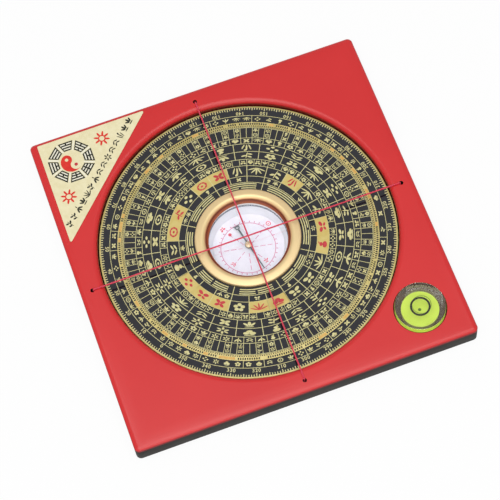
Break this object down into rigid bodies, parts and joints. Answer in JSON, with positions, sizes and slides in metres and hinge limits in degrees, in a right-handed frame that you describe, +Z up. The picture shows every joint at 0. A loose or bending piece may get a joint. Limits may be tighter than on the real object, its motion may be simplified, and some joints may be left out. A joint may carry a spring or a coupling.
{
  "type": "feng shui compass",
  "caption": "Square lacquered board with a turning round dial, a magnetic compass at its middle, a bullseye level in one corner and crossed sighting threads.",
  "frame": {"origin": "on the underside, under the middle of the square board, which is also the dial's axis", "axes": "+Z up through the dial, +Y towards the side of the board with the label, +X to the right, so the level is in the +X, -Y corner"},
  "size_m": [0.11, 0.11, 0.0088],
  "materials": {
    "base_board": "black painted fibreboard",
    "top_panel": "red gloss lacquer",
    "label_sticker": "matte print",
    "dial_disc": "machined phenolic",
    "dial_face": "gold anodised, black print",
    "bezel_ring": "polished",
    "capsule_cup": "moulded",
    "compass_card": "printed card",
    "lens_gasket": "moulded",
    "compass_lens": "clear",
    "brass_turnings": "turned",
    "needle_blade": "blued",
    "level_vial": "clear acrylic",
    "level_liquid": "clear dyed liquid",
    "level_plug": "moulded",
    "thread": "twisted nylon"
  },
  "bodies": {
    "board": {"base_board": "base_board", "top_panel": "top_panel", "label_sticker": "label_sticker", "level_vial": "level_vial", "level_liquid": "level_liquid", "level_plug": "level_plug", "thread_ew": "thread", "thread_ns": "thread"},
    "dial": {"dial_disc": "dial_disc", "dial_face": "dial_face", "bezel_ring": "bezel_ring", "capsule_cup": "capsule_cup", "compass_card": "compass_card", "lens_gasket": "lens_gasket", "compass_lens": "compass_lens", "pivot_pin": "brass_turnings"},
    "needle": {"needle_blade": "needle_blade", "needle_cap": "brass_turnings"}
  },
  "joints": [
    {"name": "dial_turn", "type": "hinge", "parent": "board", "child": "dial", "pos_m": [0, 0, 0.0015], "axis": [0, 0, 1], "continuous": true},
    {"name": "needle_swing", "type": "hinge", "parent": "dial", "child": "needle", "pos_m": [-0.0003, -0.00095, 0.00213], "axis": [0, 0, 1], "continuous": true}
  ]
}
